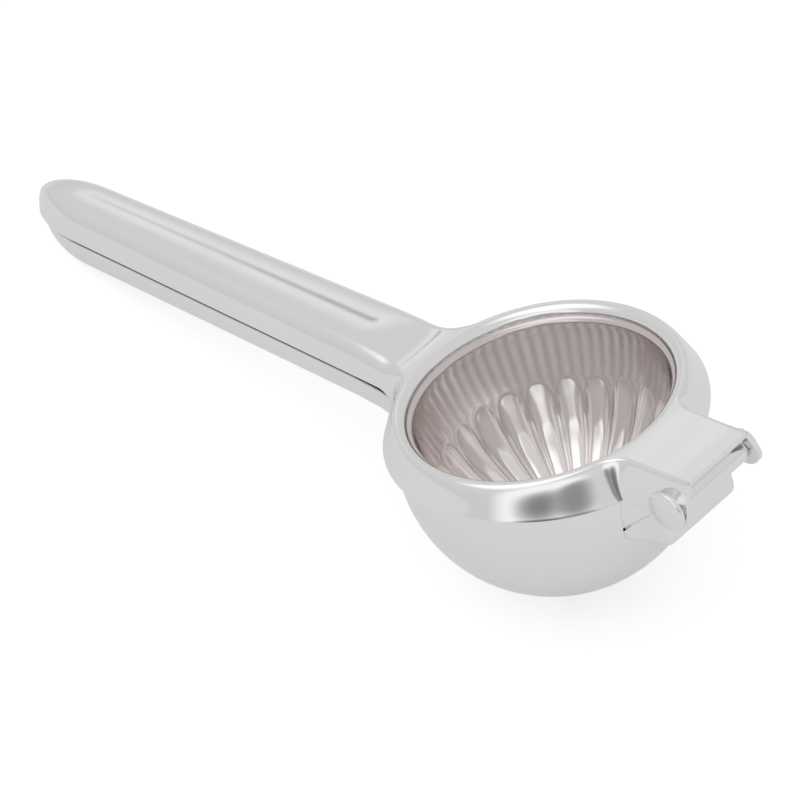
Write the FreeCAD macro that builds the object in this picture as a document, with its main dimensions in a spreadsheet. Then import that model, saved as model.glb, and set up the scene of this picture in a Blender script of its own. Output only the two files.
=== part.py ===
import FreeCAD
import Part
import Sketcher
import math
import os
import re

doc = FreeCAD.newDocument("CitrusPress")
sheet = doc.addObject("Spreadsheet::Sheet", "Sizes")

# Driving sizes in millimetres and degrees, measured from the centre of the press ring.
driving = [
    ("steel", 1.3),
    ("inner_bend", 2.3),
    ("flank_width", 4.3),
    ("crest_bend", 2.0),
    ("mouth_radius", 30.0),
    ("bead_top", 0.7),
    ("skirt_reach", 7.0),
    ("lip_reach", 5.7),
    ("skirt_gap", 0.7),
    ("skirt_dip", 3.0),
    ("dip_start", 12.0),
    ("rim_gap", 0.4),
    ("bowl_centre_depth", 12.6),
    ("cup_wall", 1.2),
    ("dome_step", 1.8),
    ("fruit_gap", 7.5),
    ("flute_count", 24),
    ("flute_radius", 1.1),
    ("flute_inset", 1.5),
    ("flute_end", 65.0),
    ("groove_radius", 0.7),
    ("handle_rise", 0.089),
    ("upper_thickness", 5.8),
    ("lower_thickness", 7.7),
    ("handle_gap", 0.8),
    ("neck_half_width", 10.3),
    ("end_half_width", 8.0),
    ("upper_corner", 4.6),
    ("lower_corner", 4.4),
    ("upper_fall", 2.8),
    ("lower_fall", 6.0),
    ("tip_length", 17.0),
    ("upper_reach", 152.0),
    ("lower_reach", 150.6),
    ("tongue_reach", 16.0),
    ("tongue_top", 0.2),
    ("tongue_half_width", 13.0),
    ("fold_radius", 3.2),
    ("pin_setback", 5.0),
    ("pin_drop", 6.8),
    ("pin_radius", 1.5),
    ("pin_fit", 0.04),
    ("knuckle_radius", 3.1),
    ("side_gap", 0.5),
    ("washer_play", 0.05),
    ("washer_radius", 2.9),
    ("head_radius", 4.9),
    ("head_edge", 1.0),
    ("head_height", 1.8),
    ("cap_radius", 3.4),
    ("cap_edge", 0.4),
    ("cap_height", 1.0),
    ("sleeve_wall", 0.5),
    ("bracket_front", 4.2),
    ("bracket_bend", 2.9),
    ("bracket_depth", 14.3),
    ("web_bend", 1.2),
    ("slot_count", 6),
    ("slot_width", 3.0),
    ("slot_length", 9.0),
    ("slot_start", 6.0),
    ("cap_bite", 0.5),
]
for row, (name, value) in enumerate(driving, start=1):
    sheet.set("A%d" % row, name)
    sheet.set("B%d" % row, str(value))
    sheet.setAlias("B%d" % row, name)

# Sizes worked out from the driving ones.
worked = [
    ("ring_middle", "mouth_radius + inner_bend"),
    ("ring_outer", "ring_middle + flank_width"),
    ("flank_rise", "skirt_reach - crest_bend"),
    ("flank_angle", "(atan(flank_width / flank_rise)"
        " - asin(crest_bend / sqrt(flank_width ^ 2 + flank_rise ^ 2))) / 1 deg"),
    ("flank_start", "ring_middle + crest_bend * cos(flank_angle)"),
    ("flank_level", "bead_top - crest_bend * (1 - sin(flank_angle))"),
    ("inner_level", "bead_top - inner_bend"),
    ("skirt_level", "bead_top - skirt_reach"),
    ("lip_level", "bead_top - lip_reach"),
    ("bowl_radius", "ring_outer - steel - skirt_gap"),
    ("bowl_level", "-bowl_centre_depth"),
    ("rim_level", "skirt_level - rim_gap"),
    ("dip_slope", "skirt_dip / (ring_outer - dip_start)"),
    ("tongue_front", "ring_outer + tongue_reach"),
    ("pin_level", "tongue_top - pin_drop"),
    ("pin_front", "tongue_front - pin_setback"),
    ("ear_inner", "tongue_half_width - steel"),
    ("bracket_half_width", "ear_inner - side_gap"),
    ("cup_mouth", "mouth_radius - cup_wall"),
    ("dome_radius", "cup_mouth - dome_step"),
    ("dome_skin", "dome_radius + cup_wall"),
    ("dome_level", "bowl_level - bowl_radius + steel + fruit_gap + dome_skin"),
    ("dome_rise", "inner_level - dome_level"),
    ("cup_taper", "(acos(dome_radius / sqrt(cup_mouth ^ 2 + dome_rise ^ 2))"
        " - atan(dome_rise / cup_mouth)) / 1 deg"),
    ("dome_edge", "dome_radius * cos(cup_taper)"),
    ("dome_top", "dome_level - dome_radius * sin(cup_taper)"),
    ("bush_inner", "pin_radius + pin_fit"),
    ("bush_outer", "bush_inner + sleeve_wall"),
    ("web_drop", "sqrt((knuckle_radius + web_bend) ^ 2 - (bracket_front - web_bend) ^ 2)"),
    ("web_share", "knuckle_radius / (knuckle_radius + web_bend)"),
    ("head_crown", "head_height - head_edge"),
    ("head_sphere", "(head_radius ^ 2 + head_crown ^ 2) / (2 * head_crown)"),
    ("cap_crown", "cap_height - cap_edge"),
    ("cap_sphere", "(cap_radius ^ 2 + cap_crown ^ 2) / (2 * cap_crown)"),
]
for name, text in worked:
    row += 1
    sheet.set("A%d" % row, name)
    sheet.set("B%d" % row, "=" + text)
    sheet.setAlias("B%d" % row, name)
    doc.recompute()
aliases = [name for name, value in driving + worked]


def bound(text):
    return re.sub(r"\b(" + "|".join(aliases) + r")\b", r"Sizes.\1", text)


def size(name):
    return float(sheet.evalExpression(name))


def plane(body, role):
    for feature in body.Origin.OriginFeatures:
        if feature.Role == role:
            return feature
    raise ValueError(role)


def sketch_on(body, name, role, offset=None):
    sketch = body.newObject("Sketcher::SketchObject", name)
    sketch.AttachmentSupport = [(plane(body, role), "")]
    sketch.MapMode = "FlatFace"
    if offset:
        sketch.setExpression("AttachmentOffset.Base.z", bound(offset))
    return sketch


def fix(sketch, kind, first, second, text):
    number = sketch.addConstraint(Sketcher.Constraint(kind, *first, *second, size(text)))
    sketch.setExpression("Constraints[%d]" % number, bound(text))


# A closed outline whose corners follow the sheet; arcs maps a side to its radius and turn.
def outline(sketch, corners, arcs=None):
    arcs = arcs or {}
    points = [FreeCAD.Vector(size(x), size(y), 0) for x, y in corners]
    ends = []
    for side, start in enumerate(points):
        stop = points[(side + 1) % len(points)]
        if side not in arcs:
            number = sketch.addGeometry(Part.LineSegment(start, stop))
            ends.append(((number, 1), (number, 2)))
            continue
        text, turn = arcs[side]
        radius = size(text)
        half = (stop - start) * 0.5
        across = FreeCAD.Vector(-half.y, half.x, 0).normalize() * turn
        centre = start + half + across * math.sqrt(max(radius ** 2 - half.Length ** 2, 0))
        first, last = (start, stop) if turn > 0 else (stop, start)
        angles = [math.atan2(p.y - centre.y, p.x - centre.x) for p in (first, last)]
        circle = Part.Circle(centre, FreeCAD.Vector(0, 0, 1), radius)
        number = sketch.addGeometry(Part.ArcOfCircle(circle, *angles))
        ends.append(((number, 1), (number, 2)) if turn > 0 else ((number, 2), (number, 1)))
    for side, (start, stop) in enumerate(ends):
        following = ends[(side + 1) % len(ends)][0]
        sketch.addConstraint(Sketcher.Constraint("Coincident", *stop, *following))
    for (x, y), (start, stop) in zip(corners, ends):
        if x == "0":
            sketch.addConstraint(Sketcher.Constraint("PointOnObject", *start, -2))
        else:
            fix(sketch, "DistanceX", (-1, 1), start, x)
        fix(sketch, "DistanceY", (-1, 1), start, y)
    for side, (text, turn) in arcs.items():
        number = sketch.addConstraint(Sketcher.Constraint("Radius", ends[side][0][0], size(text)))
        sketch.setExpression("Constraints[%d]" % number, bound(text))


def circle(sketch, x, y, radius):
    centre = FreeCAD.Vector(size(x), size(y), 0)
    number = sketch.addGeometry(Part.Circle(centre, FreeCAD.Vector(0, 0, 1), size(radius)))
    for kind, text, axis in (("DistanceX", x, -2), ("DistanceY", y, -1)):
        if text == "0":
            sketch.addConstraint(Sketcher.Constraint("PointOnObject", number, 3, axis))
        else:
            fix(sketch, kind, (-1, 1), (number, 3), text)
    dimension = sketch.addConstraint(Sketcher.Constraint("Radius", number, size(radius)))
    sketch.setExpression("Constraints[%d]" % dimension, bound(radius))


def new_body(label):
    body = doc.addObject("PartDesign::Body", label)
    body.Label = label
    return body


def turned(body, kind, name, corners, arcs=None):
    sketch = sketch_on(body, name + "_profile", "XZ_Plane")
    outline(sketch, corners, arcs)
    feature = body.newObject("PartDesign::" + kind, name)
    feature.Profile = sketch
    feature.ReferenceAxis = (sketch, ["V_Axis"])
    feature.Angle = 360
    doc.recompute()
    return feature


def pressed(body, kind, name, sketch, length):
    feature = body.newObject("PartDesign::" + kind, name)
    feature.Profile = sketch
    feature.setExpression("Length", bound(length))
    feature.SideType = "Symmetric"
    doc.recompute()
    return feature


def around(body, name, feature, count):
    pattern = body.newObject("PartDesign::PolarPattern", name)
    pattern.Originals = [feature]
    pattern.Axis = (plane(body, "Z_Axis"), [""])
    pattern.Angle = 360
    pattern.setExpression("Occurrences", bound(count))
    body.Tip = pattern
    doc.recompute()
    return pattern


# The juice bowl is a drawn round bowl with drain slots under it.
bowl = new_body("juice_bowl")
turned(bowl, "Revolution", "bowl_wall", [
    ("bowl_radius", "rim_level"),
    ("bowl_radius - steel", "rim_level"),
    ("bowl_radius - steel", "bowl_level"),
    ("0", "bowl_level - bowl_radius + steel"),
    ("0", "bowl_level - bowl_radius"),
    ("bowl_radius", "bowl_level"),
], {2: ("bowl_radius - steel", -1), 4: ("bowl_radius", 1)})
slot_sketch = sketch_on(bowl, "slot_outline", "XY_Plane", "bowl_level - bowl_radius - 5")
outline(slot_sketch, [
    ("slot_start", "-slot_width / 2"),
    ("slot_start + slot_length", "-slot_width / 2"),
    ("slot_start + slot_length", "slot_width / 2"),
    ("slot_start", "slot_width / 2"),
], {1: ("slot_width / 2 + 0.01", 1), 3: ("slot_width / 2 + 0.01", 1)})
slot = bowl.newObject("PartDesign::Pocket", "drain_slot")
slot.Profile = slot_sketch
slot.setExpression("Length", bound("bowl_radius / 2"))
slot.Reversed = True
doc.recompute()
around(bowl, "drain_slots", slot, "slot_count")

# The press cup hangs in the ring; raised flutes inside are grooves outside.
cup = new_body("press_cup")
turned(cup, "Revolution", "cup_wall_turned", [
    ("mouth_radius", "inner_level"),
    ("cup_mouth", "inner_level"),
    ("dome_edge", "dome_top"),
    ("0", "dome_level - dome_radius"),
    ("0", "dome_level - dome_skin"),
    ("dome_skin * cos(cup_taper)", "dome_level - dome_skin * sin(cup_taper)"),
    ("mouth_radius", "lip_level"),
], {2: ("dome_radius", -1), 4: ("dome_skin", 1)})


def flute(kind, name, path, radius, start, stop):
    sketch = sketch_on(cup, name + "_section", "XY_Plane")
    turn = FreeCAD.Rotation(FreeCAD.Vector(0, 1, 0), size(start))
    sketch.AttachmentOffset = FreeCAD.Placement(FreeCAD.Vector(0, 0, size("dome_level")), turn)
    sketch.setExpression("AttachmentOffset.Base.z", bound("dome_level"))
    sketch.setExpression("AttachmentOffset.Rotation.Angle", bound(start))
    circle(sketch, path, "0", radius)
    feature = cup.newObject("PartDesign::" + kind, name)
    feature.Profile = sketch
    feature.ReferenceAxis = (sketch, ["V_Axis"])
    feature.setExpression("Angle", bound(stop + " - (" + start + ")"))
    doc.recompute()
    return around(cup, name + "_pattern", feature, "flute_count")


flute("Revolution", "flute_ridge", "dome_radius", "flute_radius", "cup_taper + flute_inset", "flute_end")
flute("Groove", "flute_groove", "dome_skin", "groove_radius", "cup_taper + 3 * flute_inset",
      "flute_end - 2 * flute_inset")


# A handle is lofted through stations: reach from the ring, half width, end drop and corner radius.
# The flat side lies at the split between the handles; facing says which way the round side looks.
def handle_loft(body, kind, name, stations, facing, thickness, flat_at, skin):
    sections = []
    for number, (reach, width, drop, corner) in enumerate(stations):
        level = "(bead_top + handle_rise * (" + reach + " - ring_middle) - " + flat_at + ")"
        sketch = sketch_on(body, "%s_section_%d" % (name, number), "YZ_Plane", "-(" + reach + ")")
        half = "(" + width + " - " + skin + ")"
        bend = "(" + corner + " - 0.6 * " + skin + ")"
        inner = "(" + half + " - " + bend + ")"
        round_side = level + facing + "(" + thickness + " - " + drop + " - " + skin + ")"
        tangent = round_side + ("-" if facing == "+" else "+") + bend
        flat = level + ("-" if facing == "+" else "+") + "(" + skin + ")"
        corners = [
            ("-" + half, flat),
            (half, flat),
            (half, tangent),
            (inner, round_side),
            ("-" + inner, round_side),
            ("-" + half, tangent),
        ]
        turn = 1 if facing == "+" else -1
        outline(sketch, corners, {2: (bend, turn), 4: (bend, turn)})
        sections.append(sketch)
    loft = body.newObject("PartDesign::" + kind, name)
    loft.Profile = sections[0]
    loft.Sections = sections[1:]
    doc.recompute()
    return loft


def widths(part):
    return "neck_half_width + (end_half_width - neck_half_width) * " + part


# The press arm is one stamping: handle channel, rounded ring with its skirt, and hinge tongue.
arm = new_body("press_arm_shell")
side_sketch = sketch_on(arm, "tongue_side", "XZ_Plane")
outline(side_sketch, [
    ("mouth_radius - 2", "tongue_top"),
    ("mouth_radius - 2", "skirt_level - skirt_dip"),
    ("ring_outer + 1", "skirt_level - skirt_dip"),
    ("pin_front - pin_setback * 0.9", "pin_level - pin_setback * sqrt(0.19)"),
    ("pin_front", "pin_level - pin_setback"),
    ("tongue_front", "pin_level"),
    ("tongue_front", "tongue_top"),
], {3: ("pin_setback", 1), 4: ("pin_setback", 1)})
block = pressed(arm, "Pad", "tongue_block", side_sketch, "2 * tongue_half_width")
folds = []
for number, edge in enumerate(block.Shape.Edges, start=1):
    box = edge.BoundBox
    if box.XLength > 10 and abs(box.ZMin - size("tongue_top")) < 0.01 and box.YLength < 0.01:
        folds.append("Edge%d" % number)
fold = arm.newObject("PartDesign::Fillet", "tongue_folds")
fold.Base = (block, folds)
fold.setExpression("Radius", bound("fold_radius"))
doc.recompute()
hollow_sketch = sketch_on(arm, "tongue_hollow_side", "XZ_Plane")
outline(hollow_sketch, [
    ("mouth_radius - 4", "tongue_top - steel"),
    ("mouth_radius - 4", "pin_level - 3 * pin_setback"),
    ("tongue_front + 5", "pin_level - 3 * pin_setback"),
    ("tongue_front + 5", "tongue_top - steel"),
])
hollow = pressed(arm, "Pocket", "tongue_hollow", hollow_sketch, "2 * ear_inner")
hole_sketch = sketch_on(arm, "pin_hole_outline", "XZ_Plane")
circle(hole_sketch, "pin_front", "pin_level", "pin_radius")
pressed(arm, "Pocket", "pin_holes", hole_sketch, "4 * tongue_half_width")

# The end of a handle is rounded like an ellipse over its last tip_length.
def handle_stations(reach, neck, corner, fall):
    stations = list(neck)
    straight = 7
    for step in range(straight + 1):
        part = "%.4f" % (step / straight)
        place = "ring_outer + 13 + (" + reach + " - tip_length - ring_outer - 13) * " + part
        stations.append((place, widths(part), "0", corner))
    for short in (0.66, 0.4, 0.22, 0.1, 0.025):
        round_off = "%.4f" % math.sqrt(1 - (1 - short) ** 2)
        drop = "(1 - " + round_off + ") * " + fall
        bend = "0.3 + (" + corner + " - 0.3) * " + round_off + " * 0.85"
        stations.append((reach + " - tip_length * %.3f" % short, "end_half_width * " + round_off, drop, bend))
    return stations


upper_neck = [
    ("ring_middle - 3", "1.9 * neck_half_width", "0.6", "upper_corner"),
    ("ring_outer - 0.6", "1.34 * neck_half_width", "0", "upper_corner"),
    ("ring_outer + 5", "1.1 * neck_half_width", "0", "upper_corner"),
]
upper_stations = handle_stations("upper_reach", upper_neck, "upper_corner", "upper_fall")
handle_loft(arm, "AdditiveLoft", "handle_outside", upper_stations, "+", "upper_thickness",
            "upper_thickness", "0")
handle_loft(arm, "SubtractiveLoft", "handle_inside", upper_stations[:-3], "+", "upper_thickness",
            "upper_thickness", "steel")
turned(arm, "Groove", "ring_clearing", [
    ("0", "bead_top"),
    ("0", "skirt_level - 20"),
    ("ring_outer", "skirt_level - 20"),
    ("ring_outer", "skirt_level"),
    ("flank_start", "flank_level"),
    ("ring_middle", "bead_top"),
], {4: ("crest_bend", 1)})
turned(arm, "Revolution", "ring", [
    ("mouth_radius", "lip_level"),
    ("mouth_radius + steel", "lip_level"),
    ("mouth_radius + steel", "inner_level"),
    ("ring_middle", "bead_top - steel"),
    ("flank_start - steel * cos(flank_angle)", "flank_level - steel * sin(flank_angle)"),
    ("ring_outer - steel / cos(flank_angle)", "skirt_level"),
    ("ring_outer - steel / cos(flank_angle)", "skirt_level - skirt_dip"),
    ("ring_outer", "skirt_level - skirt_dip"),
    ("ring_outer", "skirt_level"),
    ("flank_start", "flank_level"),
    ("ring_middle", "bead_top"),
    ("mouth_radius", "inner_level"),
], {
    2: ("inner_bend - steel", -1),
    3: ("crest_bend - steel", -1),
    9: ("crest_bend", 1),
    10: ("inner_bend", 1),
})
# The skirt is level round the handle side and dips towards the hinge.
trim_sketch = sketch_on(arm, "skirt_trim_side", "XZ_Plane")
outline(trim_sketch, [
    ("-ring_outer - 1", "skirt_level"),
    ("-ring_outer - 1", "skirt_level - 2 * skirt_dip"),
    ("ring_outer + 0.5", "skirt_level - 2 * skirt_dip"),
    ("ring_outer + 0.5", "skirt_level - skirt_dip - 0.5 * dip_slope"),
    ("dip_start", "skirt_level"),
])
pressed(arm, "Pocket", "skirt_trim", trim_sketch, "2 * ring_outer + 2")
notch_sketch = sketch_on(arm, "skirt_notch_side", "XZ_Plane")
outline(notch_sketch, [
    ("ring_middle", "tongue_top - steel"),
    ("ring_middle", "skirt_level - 5"),
    ("ring_outer + 1", "skirt_level - 5"),
    ("ring_outer + 1", "tongue_top - steel"),
])
pressed(arm, "Pocket", "skirt_notch", notch_sketch, "2 * ear_inner")

# The lower handle is a channel welded to the bowl.
lower = new_body("lower_handle")
lower_neck = [
    ("bowl_radius - 6", "1.35 * neck_half_width", "0", "lower_corner"),
    ("ring_outer - 0.6", "1.18 * neck_half_width", "0", "lower_corner"),
    ("ring_outer + 5", "1.06 * neck_half_width", "0", "lower_corner"),
]
lower_stations = handle_stations("lower_reach", lower_neck, "lower_corner", "lower_fall")
lower_flat = "(upper_thickness + handle_gap)"
handle_loft(lower, "AdditiveLoft", "handle_outside", lower_stations, "-", "lower_thickness",
            lower_flat, "0")
handle_loft(lower, "SubtractiveLoft", "handle_inside", lower_stations[:-3], "-", "lower_thickness",
            lower_flat, "steel")
turned(lower, "Groove", "bowl_seat", [
    ("0", "bead_top + 10"),
    ("0", "bowl_level - bowl_radius"),
    ("bowl_radius", "bowl_level"),
    ("bowl_radius", "skirt_level - skirt_gap"),
    ("ring_outer + skirt_gap", "skirt_level - skirt_gap"),
    ("ring_outer + skirt_gap", "bead_top + 10"),
], {1: ("bowl_radius", 1)})


# The hinge bracket is welded to the front of the bowl and carries the knuckle.
bracket = new_body("hinge_bracket")
bracket_sketch = sketch_on(bracket, "bracket_side", "XZ_Plane")
outline(bracket_sketch, [
    ("bowl_radius - 8", "pin_level + knuckle_radius"),
    ("bowl_radius - 8", "pin_level - bracket_depth"),
    ("pin_front - bracket_front - bracket_bend", "pin_level - bracket_depth"),
    ("pin_front - bracket_front", "pin_level - bracket_depth + bracket_bend"),
    ("pin_front - bracket_front", "pin_level - web_drop"),
    ("pin_front - (bracket_front - web_bend) * web_share", "pin_level - web_drop * web_share"),
    ("pin_front", "pin_level - knuckle_radius"),
    ("pin_front + knuckle_radius", "pin_level"),
    ("pin_front", "pin_level + knuckle_radius"),
], {
    2: ("bracket_bend", 1),
    4: ("web_bend", -1),
    5: ("knuckle_radius", 1),
    6: ("knuckle_radius", 1),
    7: ("knuckle_radius", 1),
})
pressed(bracket, "Pad", "bracket_block", bracket_sketch, "2 * bracket_half_width")
inside_sketch = sketch_on(bracket, "bracket_inside", "XZ_Plane")
outline(inside_sketch, [
    ("bowl_radius - 10", "pin_level + knuckle_radius - steel"),
    ("bowl_radius - 10", "pin_level - bracket_depth - 2"),
    ("pin_front - bracket_front - steel", "pin_level - bracket_depth - 2"),
    ("pin_front - bracket_front - steel", "pin_level + knuckle_radius - steel"),
])
pressed(bracket, "Pocket", "bracket_hollow", inside_sketch, "2 * (bracket_half_width - steel)")
bore_sketch = sketch_on(bracket, "knuckle_bore_outline", "XZ_Plane")
circle(bore_sketch, "pin_front", "pin_level", "bush_outer")
pressed(bracket, "Pocket", "knuckle_bore", bore_sketch, "4 * bracket_half_width")
turned(bracket, "Groove", "bowl_seat", [
    ("0", "bead_top"),
    ("0", "bowl_level - bowl_radius"),
    ("bowl_radius", "bowl_level"),
    ("bowl_radius", "bead_top"),
], {1: ("bowl_radius", 1)})


# Pieces turned about the hinge line; corners are radius and place along the pin.
def on_pin(label, corners, arcs=None):
    body = new_body(label)
    sketch = sketch_on(body, label + "_profile", "XY_Plane", "pin_level")
    sketch.setExpression("AttachmentOffset.Base.x", bound("pin_front"))
    outline(sketch, corners, arcs)
    feature = body.newObject("PartDesign::Revolution", label + "_turned")
    feature.Profile = sketch
    feature.ReferenceAxis = (sketch, ["V_Axis"])
    feature.Angle = 360
    doc.recompute()
    return body


pin = on_pin("hinge_pin", [
    ("0", "-tongue_half_width - head_height"),
    ("head_radius", "-tongue_half_width - head_edge"),
    ("head_radius", "-tongue_half_width"),
    ("pin_radius", "-tongue_half_width"),
    ("pin_radius", "tongue_half_width + cap_bite"),
    ("0", "tongue_half_width + cap_bite"),
], {0: ("head_sphere", 1)})
cap = on_pin("pin_cap", [
    ("0", "tongue_half_width + cap_bite"),
    ("pin_radius", "tongue_half_width + cap_bite"),
    ("pin_radius", "tongue_half_width"),
    ("cap_radius", "tongue_half_width"),
    ("cap_radius", "tongue_half_width + cap_edge"),
    ("0", "tongue_half_width + cap_height"),
], {4: ("cap_sphere", 1)})
bush = on_pin("knuckle_bush", [
    ("bush_inner", "-bracket_half_width"),
    ("bush_outer", "-bracket_half_width"),
    ("bush_outer", "bracket_half_width"),
    ("bush_inner", "bracket_half_width"),
])
washers = []
for label, side in (("near_washer", "-"), ("far_washer", "")):
    washers.append(on_pin(label, [
        ("bush_inner", side + "(bracket_half_width + washer_play)"),
        ("washer_radius", side + "(bracket_half_width + washer_play)"),
        ("washer_radius", side + "ear_inner"),
        ("bush_inner", side + "ear_inner"),
    ]))

# The press rests on the bowl and the end of the lower handle, so every body is placed with that tilt.
bodies = [bowl, lower, bracket, bush, arm, cup, pin, cap] + washers
end_points = lower.Shape.tessellate(0.02)[0]
low, high = 0.0, 40.0
for step in range(40):
    tilt = math.radians((low + high) / 2)
    handle_low = min(p.z * math.cos(tilt) + p.x * math.sin(tilt) for p in end_points)
    bowl_low = size("bowl_level") * math.cos(tilt) - size("bowl_radius")
    if handle_low > bowl_low:
        low = math.degrees(tilt)
    else:
        high = math.degrees(tilt)
turn = FreeCAD.Rotation(FreeCAD.Vector(0, 1, 0), -math.degrees(tilt))
centre = turn.multVec(FreeCAD.Vector(0, 0, size("bowl_level")))
lift = FreeCAD.Vector(0, 0, size("bowl_radius")) - centre
rest = FreeCAD.Placement(lift, turn)
print("tilt", math.degrees(tilt), "lift", lift)
print("pin", rest.multVec(FreeCAD.Vector(size("pin_front"), 0, size("pin_level"))))
print("ring", rest.multVec(FreeCAD.Vector(0, 0, 0)))
for body in bodies:
    body.Placement = rest
doc.recompute()

for item in doc.Objects:
    if "Invalid" in item.State or "Error" in item.State:
        raise RuntimeError(item.Name + " failed to rebuild")
os.makedirs("parts", exist_ok=True)
for body in bodies:
    shape = body.Shape
    if shape.isNull() or not shape.isValid() or len(shape.Solids) != 1:
        raise RuntimeError(body.Label + " is not one valid solid")
    shape.exportStep("parts/%s.step" % body.Label)
    print(body.Label, round(shape.Volume, 1), shape.BoundBox)
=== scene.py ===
import bmesh
import bpy
import math
import numpy as np
from functools import partial
from mathutils import Matrix, Vector


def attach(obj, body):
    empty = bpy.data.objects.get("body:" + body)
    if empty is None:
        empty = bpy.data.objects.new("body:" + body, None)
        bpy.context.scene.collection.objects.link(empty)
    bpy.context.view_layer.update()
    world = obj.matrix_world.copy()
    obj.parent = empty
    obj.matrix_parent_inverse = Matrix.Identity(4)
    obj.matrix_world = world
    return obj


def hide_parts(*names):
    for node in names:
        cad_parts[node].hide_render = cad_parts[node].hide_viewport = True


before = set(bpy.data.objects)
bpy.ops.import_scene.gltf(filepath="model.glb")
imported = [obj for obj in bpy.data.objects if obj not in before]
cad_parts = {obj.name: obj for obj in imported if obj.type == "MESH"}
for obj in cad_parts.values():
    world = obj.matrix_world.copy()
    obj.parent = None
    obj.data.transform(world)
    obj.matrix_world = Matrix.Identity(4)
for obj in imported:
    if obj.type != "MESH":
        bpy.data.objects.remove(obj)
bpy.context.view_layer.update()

# the press lies tilted on the table; shapes below are in millimetres from the centre of the ring
pose = {"tilt": 17.909397670991893, "lift": (-3.8746599502607957, 0.0, 46.58945412726722)}
toolTurn = Matrix.Rotation(math.radians(-pose["tilt"]), 3, "Y")
toolLift = Vector(pose["lift"])
millimetre = 0.001
quarterTurn = math.pi / 2
smallest = 1e-6

ring = {"mouth": 30.0, "innerBend": 2.3, "outerBend": 4.3, "top": 0.7, "skirt": 7.0, "lip": 5.7,
        "steel": 1.3, "dip": 3.0, "dipPower": 2.5, "bendRows": 8}
ringMiddle = ring["mouth"] + ring["innerBend"]
ringOuter = ringMiddle + ring["outerBend"]
skirtLevel = ring["top"] - ring["skirt"]

hinge = {"front": 47.6, "level": -6.6, "halfWidth": 13.0, "knuckle": 3.1}

# how sheet is made from a surface: points merged below a distance, edges rounded past an angle
sheet = {"merge": 0.002, "edge": 0.25, "edgeSteps": 2, "sharpAngle": 55.0}


def toWorld(point):
    return (toolTurn @ Vector(point) + toolLift) * millimetre


def between(first, last, share):
    return first + (last - first) * share


def ease(start, stop, value):
    part = np.clip((value - start) / (stop - start), 0, 1)
    return part * part * (3 - 2 * part)


def arc(centre, radius, start, stop, count):
    angles = np.radians(np.linspace(start, stop, count))
    return np.stack([centre[0] + radius * np.cos(angles), centre[1] + radius * np.sin(angles)], 1)


def revolve(profile, segments, place=None):
    place = place or (lambda r, angle, h: (r * math.cos(angle), r * math.sin(angle), h))
    turns = [2 * math.pi * k / segments for k in range(segments)]
    return [[place(r, angle, h) for angle in turns] for r, h in profile]


# every grid is rows of points; faces follow the order given by flip
def gridFaces(rows, columns, first=0, closed=False, flip=False):
    faces = []
    for row in range(rows - 1):
        for column in range(columns if closed else columns - 1):
            following = (column + 1) % columns
            low = first + row * columns
            high = low + columns
            face = (low + column, low + following, high + following, high + column)
            faces.append(face[::-1] if flip else face)
    return faces


class Surface:
    def __init__(self):
        self.points = []
        self.faces = []

    def addGrid(self, grid, closed=False, flip=False):
        grid = np.asarray(grid, float)
        rows, columns = grid.shape[:2]
        self.faces += gridFaces(rows, columns, len(self.points), closed, flip)
        self.points += [tuple(p) for p in grid.reshape(-1, 3)]

    def build(self, name, material, outward=True):
        mesh = bpy.data.meshes.new(name)
        mesh.from_pydata([toWorld(p) for p in self.points], [], self.faces)
        work = bmesh.new()
        work.from_mesh(mesh)
        bmesh.ops.remove_doubles(work, verts=work.verts, dist=sheet["merge"] * millimetre)
        bmesh.ops.delete(work, geom=[e for e in work.edges if e.is_wire], context="EDGES")
        if outward:
            bmesh.ops.recalc_face_normals(work, faces=work.faces)
        for face in work.faces:
            face.smooth = True
        work.to_mesh(mesh)
        work.free()
        mesh.materials.append(material)
        obj = bpy.data.objects.new(name, mesh)
        bpy.context.scene.collection.objects.link(obj)
        return obj


def settle(obj):
    bpy.context.view_layer.update()
    graph = bpy.context.evaluated_depsgraph_get()
    plain = bpy.data.meshes.new_from_object(obj.evaluated_get(graph))
    obj.modifiers.clear()
    obj.data = plain


def thicken(obj):
    shell = obj.modifiers.new("thickness", "SOLIDIFY")
    shell.thickness = ring["steel"] * millimetre
    shell.offset = -1
    shell.use_even_offset = False
    rounding = obj.modifiers.new("edges", "BEVEL")
    rounding.width = sheet["edge"] * millimetre
    rounding.segments = sheet["edgeSteps"]
    rounding.limit_method = "ANGLE"
    rounding.angle_limit = math.radians(sheet["sharpAngle"])
    settle(obj)


def dress(obj, body, slot, *nodes):
    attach(obj, body)
    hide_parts(*nodes)
    print("piece", obj.name, len(obj.data.polygons))


# nodes are made by small helpers so that a tree reads as a formula
def link(tree, value, socket):
    if isinstance(value, bpy.types.NodeSocket):
        tree.links.new(value, socket)
    else:
        socket.default_value = value


def calc(tree, operation, *values):
    node = tree.nodes.new("ShaderNodeMath")
    node.operation = operation
    for value, socket in zip(values, node.inputs):
        link(tree, value, socket)
    return node.outputs[0]


def addNode(tree, kind, **values):
    node = tree.nodes.new(kind)
    for name, value in values.items():
        link(tree, value, node.inputs[name.replace("_", " ")])
    return node


def mixLevels(tree, share, first, second):
    node = tree.nodes.new("ShaderNodeMix")
    for value, socket in zip((share, first, second), (0, 2, 3)):
        link(tree, value, node.inputs[socket])
    return node.outputs[0]


def mixColours(tree, share, first, second, blend="MIX"):
    node = tree.nodes.new("ShaderNodeMix")
    node.data_type = "RGBA"
    node.blend_type = blend
    for value, socket in zip((share, first, second), (0, 6, 7)):
        link(tree, value, node.inputs[socket])
    return node.outputs[2]


# tint, roughness and how much smudges add to it
tones = {"polishedSteel": ((0.86, 0.86, 0.86), 0.05, 0.09),
         "cupSteel": ((0.69, 0.645, 0.635), 0.06, 0.08),
         "bushBrass": ((0.78, 0.62, 0.34), 0.22, 0.2),
         "washerNylon": ((0.85, 0.85, 0.83), 0.45, 0.15)}

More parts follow.
